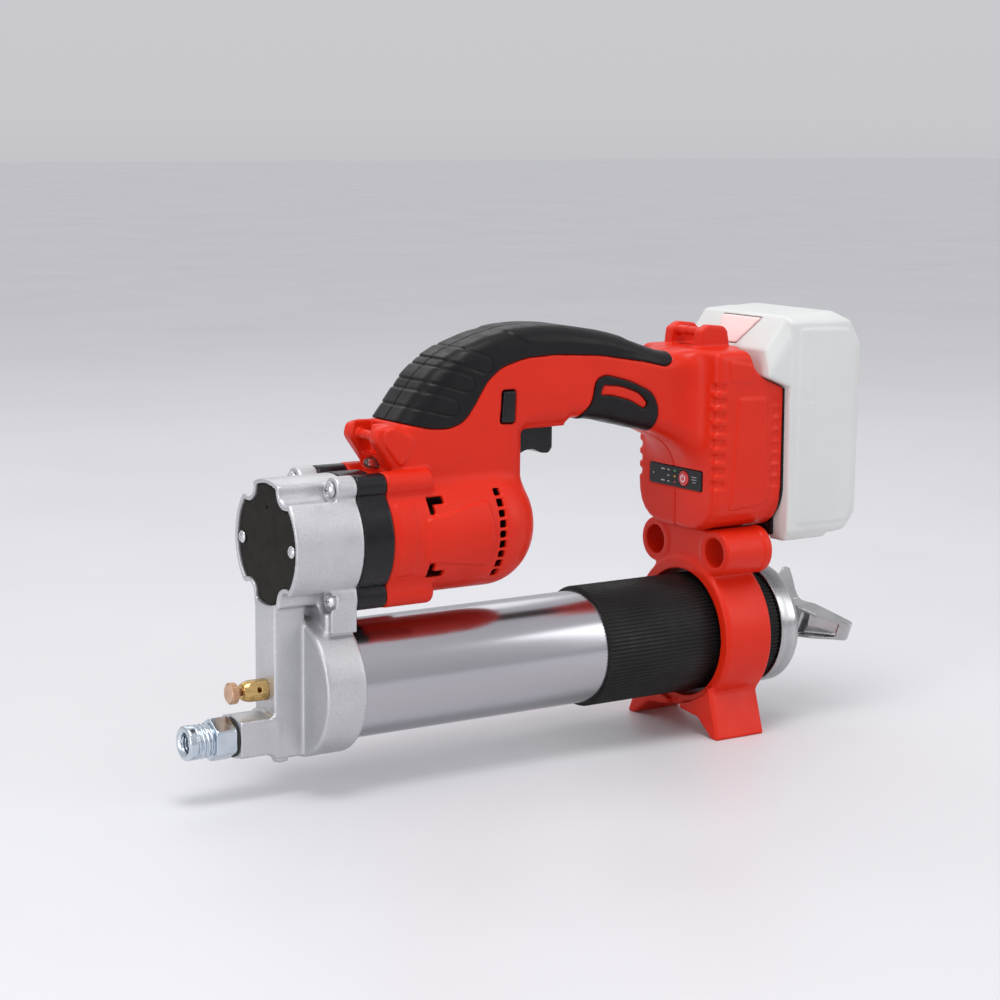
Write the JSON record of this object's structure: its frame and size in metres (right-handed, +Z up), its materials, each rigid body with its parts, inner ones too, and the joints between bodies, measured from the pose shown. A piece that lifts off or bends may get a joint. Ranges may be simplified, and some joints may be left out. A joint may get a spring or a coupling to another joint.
{
  "type": "cordless grease gun",
  "caption": "Battery grease gun: level steel grease barrel under an arched grip handle, cast pump head with outlet coupler, geared motor, removable slide-on pack.",
  "frame": {"origin": "on the floor plane of the two soles, midway between the outlet's tip and the T-handle, on the middle plane", "axes": "+X from the T-handle to the outlet, +Y to the gun's left, +Z up"},
  "size_m": [0.384, 0.0798, 0.2168],
  "materials": {
    "cast_aluminium": "sandblasted die casting",
    "black_cover": "glossy brown-black",
    "screw_steel": "zinc plated",
    "spacer_plastic": "gloss",
    "gear_steel": "hardened",
    "bearing_bronze": "sintered",
    "motor_steel": "satin",
    "inner_plastic": "matte",
    "seal_rubber": "matte",
    "spring_steel": "bright",
    "zinc_plate": "blue zinc plating",
    "brass": "machined",
    "copper_knob": "knurled",
    "polished_steel": "polished",
    "sleeve_rubber": "ribbed",
    "turned_steel": "turned",
    "polished_casting": "polished casting",
    "red_plastic": "fine spark texture",
    "grip_rubber": "soft satin",
    "clear_lens": "clear",
    "red_button": "gloss",
    "pack_plastic": "pale translucent",
    "cell_wrap": "matte",
    "pack_button": "pale pink translucent"
  },
  "bodies": {
    "frame": {"pump_head": "cast_aluminium", "gear_case_cover": "black_cover", "cover_screws": "screw_steel", "gearbox_ring": "spacer_plastic", "gearbox_screws": "screw_steel", "ring_gear": "gear_steel", "crank_bearing": "bearing_bronze", "plunger_seal": "seal_rubber", "motor_can": "motor_steel", "outlet_coupler": "zinc_plate", "coupler_seal": "seal_rubber", "bleeder_body": "brass", "check_spring": "spring_steel", "clamp_bracket": "red_plastic", "bracket_screws": "screw_steel", "left_housing": "red_plastic", "right_housing": "red_plastic", "housing_screws": "screw_steel", "top_grip_left": "grip_rubber", "top_grip_right": "grip_rubber", "lower_grip_left": "grip_rubber", "lower_grip_right": "grip_rubber", "trigger_switch": "inner_plastic", "trigger_spring": "spring_steel", "work_light": "clear_lens", "battery_mount": "spacer_plastic", "battery_terminals": "brass", "label_panel": "spacer_plastic", "control_board": "inner_plastic"},
    "motor": {"motor_rotor": "motor_steel", "motor_fan": "inner_plastic", "motor_pinion": "gear_steel"},
    "stage_carrier": {"stage_carrier": "gear_steel"},
    "crank": {"crank_carrier": "gear_steel"},
    "plunger": {"pump_plunger": "gear_steel"},
    "check_ball": {"check_ball": "gear_steel"},
    "bleeder_knob": {"bleeder_knob": "copper_knob"},
    "barrel": {"barrel_tube": "polished_steel", "barrel_sleeve": "sleeve_rubber", "barrel_seal": "seal_rubber", "end_cap": "turned_steel", "rod_bush": "bearing_bronze", "follower_spring": "spring_steel"},
    "follower": {"follower_rod": "motor_steel", "t_handle": "polished_casting", "follower_plate": "motor_steel", "follower_cup": "seal_rubber"},
    "trigger": {"trigger": "spacer_plastic"},
    "lock_button": {"lock_button": "spacer_plastic"},
    "mode_button": {"mode_button": "red_button"},
    "battery": {"battery_case": "pack_plastic", "battery_cells": "cell_wrap"},
    "battery_button": {"battery_button": "pack_button"},
    "planet_a1": {"planet_a1": "gear_steel"},
    "planet_a2": {"planet_a2": "gear_steel"},
    "planet_a3": {"planet_a3": "gear_steel"},
    "planet_b1": {"planet_b1": "gear_steel"},
    "planet_b2": {"planet_b2": "gear_steel"},
    "planet_b3": {"planet_b3": "gear_steel"}
  },
  "joints": [
    {"name": "motor_spin", "type": "hinge", "parent": "frame", "child": "motor", "pos_m": [0, 0, 0.119], "axis": [1, 0, 0], "continuous": true},
    {"name": "stage_carrier_spin", "type": "hinge", "parent": "frame", "child": "stage_carrier", "pos_m": [0, 0, 0.119], "axis": [1, 0, 0], "continuous": true},
    {"name": "crank_spin", "type": "hinge", "parent": "frame", "child": "crank", "pos_m": [0, 0, 0.119], "axis": [1, 0, 0], "continuous": true},
    {"name": "planet_a1_spin", "type": "hinge", "parent": "stage_carrier", "child": "planet_a1", "pos_m": [0, 0.01238, 0.119], "axis": [1, 0, 0], "continuous": true},
    {"name": "planet_b1_spin", "type": "hinge", "parent": "crank", "child": "planet_b1", "pos_m": [0, 0.01238, 0.119], "axis": [1, 0, 0], "continuous": true},
    {"name": "planet_a2_spin", "type": "hinge", "parent": "stage_carrier", "child": "planet_a2", "pos_m": [0, -0.00619, 0.12972], "axis": [1, 0, 0], "continuous": true},
    {"name": "planet_b2_spin", "type": "hinge", "parent": "crank", "child": "planet_b2", "pos_m": [0, -0.00619, 0.12972], "axis": [1, 0, 0], "continuous": true},
    {"name": "planet_a3_spin", "type": "hinge", "parent": "stage_carrier", "child": "planet_a3", "pos_m": [0, -0.00619, 0.10828], "axis": [1, 0, 0], "continuous": true},
    {"name": "planet_b3_spin", "type": "hinge", "parent": "crank", "child": "planet_b3", "pos_m": [0, -0.00619, 0.10828], "axis": [1, 0, 0], "continuous": true},
    {"name": "plunger_stroke", "type": "slide", "parent": "frame", "child": "plunger", "axis": [0, 0, 1], "range_m": [-0.006, 0.006]},
    {"name": "check_ball_lift", "type": "slide", "parent": "frame", "child": "check_ball", "axis": [1, 0, 0], "range_m": [0, 0.0015], "stiffness_N_per_m": 300, "springref_m": -0.002, "deforming": ["check_spring"]},
    {"name": "bleeder_knob_turn", "type": "hinge", "parent": "frame", "child": "bleeder_knob", "pos_m": [0.165, 0, 0.0505], "axis": [1, 0, 0], "range_deg": [0, 540]},
    {"name": "barrel_unscrew", "type": "hinge", "parent": "frame", "child": "barrel", "pos_m": [0, 0, 0.05], "axis": [1, 0, 0], "range_deg": [-1080, 0]},
    {"name": "follower_rod_pull", "type": "slide", "parent": "barrel", "child": "follower", "axis": [-1, 0, 0], "range_m": [0, 0.19], "stiffness_N_per_m": 120, "springref_m": -0.15, "deforming": ["follower_spring"]},
    {"name": "trigger_pull", "type": "slide", "parent": "frame", "child": "trigger", "axis": [0, 0, 1], "range_m": [0, 0.006], "stiffness_N_per_m": 800, "springref_m": -0.003, "deforming": ["trigger_spring"]},
    {"name": "lock_button_slide", "type": "slide", "parent": "frame", "child": "lock_button", "axis": [0, -1, 0], "range_m": [0, 0.004]},
    {"name": "mode_button_press", "type": "slide", "parent": "frame", "child": "mode_button", "axis": [-1, 0, 0], "range_m": [0, 0.0008], "stiffness_N_per_m": 1500, "springref_m": -0.0005},
    {"name": "battery_slide", "type": "slide", "parent": "frame", "child": "battery", "axis": [0, 0, 1], "range_m": [0, 0.1]},
    {"name": "battery_button_press", "type": "slide", "parent": "battery", "child": "battery_button", "axis": [-1, 0, 0], "range_m": [0, 0.0025], "stiffness_N_per_m": 1500, "springref_m": -0.0005}
  ],
  "couplings": [
    {"joint": "stage_carrier_spin", "follows": "motor_spin", "ratio": 0.22727},
    {"joint": "crank_spin", "follows": "motor_spin", "ratio": 0.051653},
    {"joint": "planet_a1_spin", "follows": "motor_spin", "ratio": -0.64394},
    {"joint": "planet_b1_spin", "follows": "motor_spin", "ratio": -0.14635},
    {"joint": "planet_a2_spin", "follows": "motor_spin", "ratio": -0.64394},
    {"joint": "planet_b2_spin", "follows": "motor_spin", "ratio": -0.14635},
    {"joint": "planet_a3_spin", "follows": "motor_spin", "ratio": -0.64394},
    {"joint": "planet_b3_spin", "follows": "motor_spin", "ratio": -0.14635}
  ]
}
